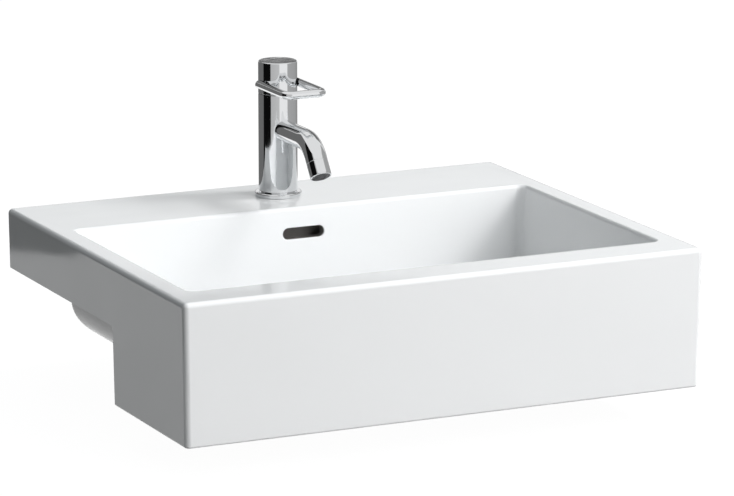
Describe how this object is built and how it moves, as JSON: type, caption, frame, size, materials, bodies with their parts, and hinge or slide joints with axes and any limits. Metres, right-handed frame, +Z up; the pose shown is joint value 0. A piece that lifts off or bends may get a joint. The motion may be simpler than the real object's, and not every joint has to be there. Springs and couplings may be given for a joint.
{
  "type": "inset basin with mixer tap",
  "caption": "Square-edged ceramic inset basin with deep rectangular bowl, slot overflow, front apron, push-open waste and single-lever loop-handle mixer tap",
  "frame": {"origin": "Middle of the slab's bottom back edge, on the face that rests on the worktop; Z = 0 is the worktop's top and Y = 0 the wall.", "axes": "+X to the user's right hand when facing the wall, +Y into the wall, +Z up."},
  "size_m": [0.5498, 0.4599, 0.319],
  "materials": {
    "glazed_ceramic": "white vitreous glaze on fireclay, glossy",
    "disc_ceramic": "lapped alumina",
    "tap_chrome": "polished chrome on brass",
    "waste_chrome": "polished chrome on brass",
    "raw_brass": "machined, unplated",
    "steel": "zinc-plated or stainless, machined",
    "black_rubber": "matte",
    "dark_plastic": "black acetal",
    "white_plastic": "natural acetal"
  },
  "bodies": {
    "basin": {"basin": "glazed_ceramic", "tap_body": "tap_chrome", "base_ring": "tap_chrome", "base_gasket": "black_rubber", "spout": "tap_chrome", "aerator_sleeve": "tap_chrome", "aerator_washer": "black_rubber", "aerator_insert": "dark_plastic", "glide_ring": "dark_plastic", "cartridge_housing": "white_plastic", "fixed_disc": "disc_ceramic", "cartridge_seals": "black_rubber", "cartridge_nut": "raw_brass", "fixing_stud": "steel", "horseshoe_gasket": "black_rubber", "horseshoe_washer": "steel", "fixing_nut": "raw_brass", "waste_flange": "waste_chrome", "waste_top_seal": "black_rubber", "waste_body": "waste_chrome", "waste_bottom_seal": "black_rubber", "slip_washer": "white_plastic", "waste_nut": "waste_chrome", "plug_guide": "raw_brass"},
    "tap_head": {"head_cap": "tap_chrome", "pivot_bushes": "dark_plastic", "cartridge_turret": "white_plastic", "moving_disc": "disc_ceramic"},
    "lever": {"loop_handle": "tap_chrome", "pivot_pins": "steel", "lever_yoke": "raw_brass", "yoke_screw": "steel", "cartridge_stem": "raw_brass"},
    "plug": {"plug_cover": "waste_chrome", "plug_seal": "black_rubber", "plug_stem": "raw_brass"}
  },
  "joints": [
    {"name": "head_turn", "type": "hinge", "parent": "basin", "child": "tap_head", "pos_m": [0, -0.059, 0.168], "axis": [0, 0, 1], "range_deg": [-50, 50]},
    {"name": "loop_lift", "type": "hinge", "parent": "tap_head", "child": "lever", "pos_m": [0, -0.059, 0.17785], "axis": [-1, 0, 0], "range_deg": [0, 25]},
    {"name": "plug_press", "type": "slide", "parent": "basin", "child": "plug", "axis": [0, 0, 1], "range_m": [0, 0.009]}
  ]
}
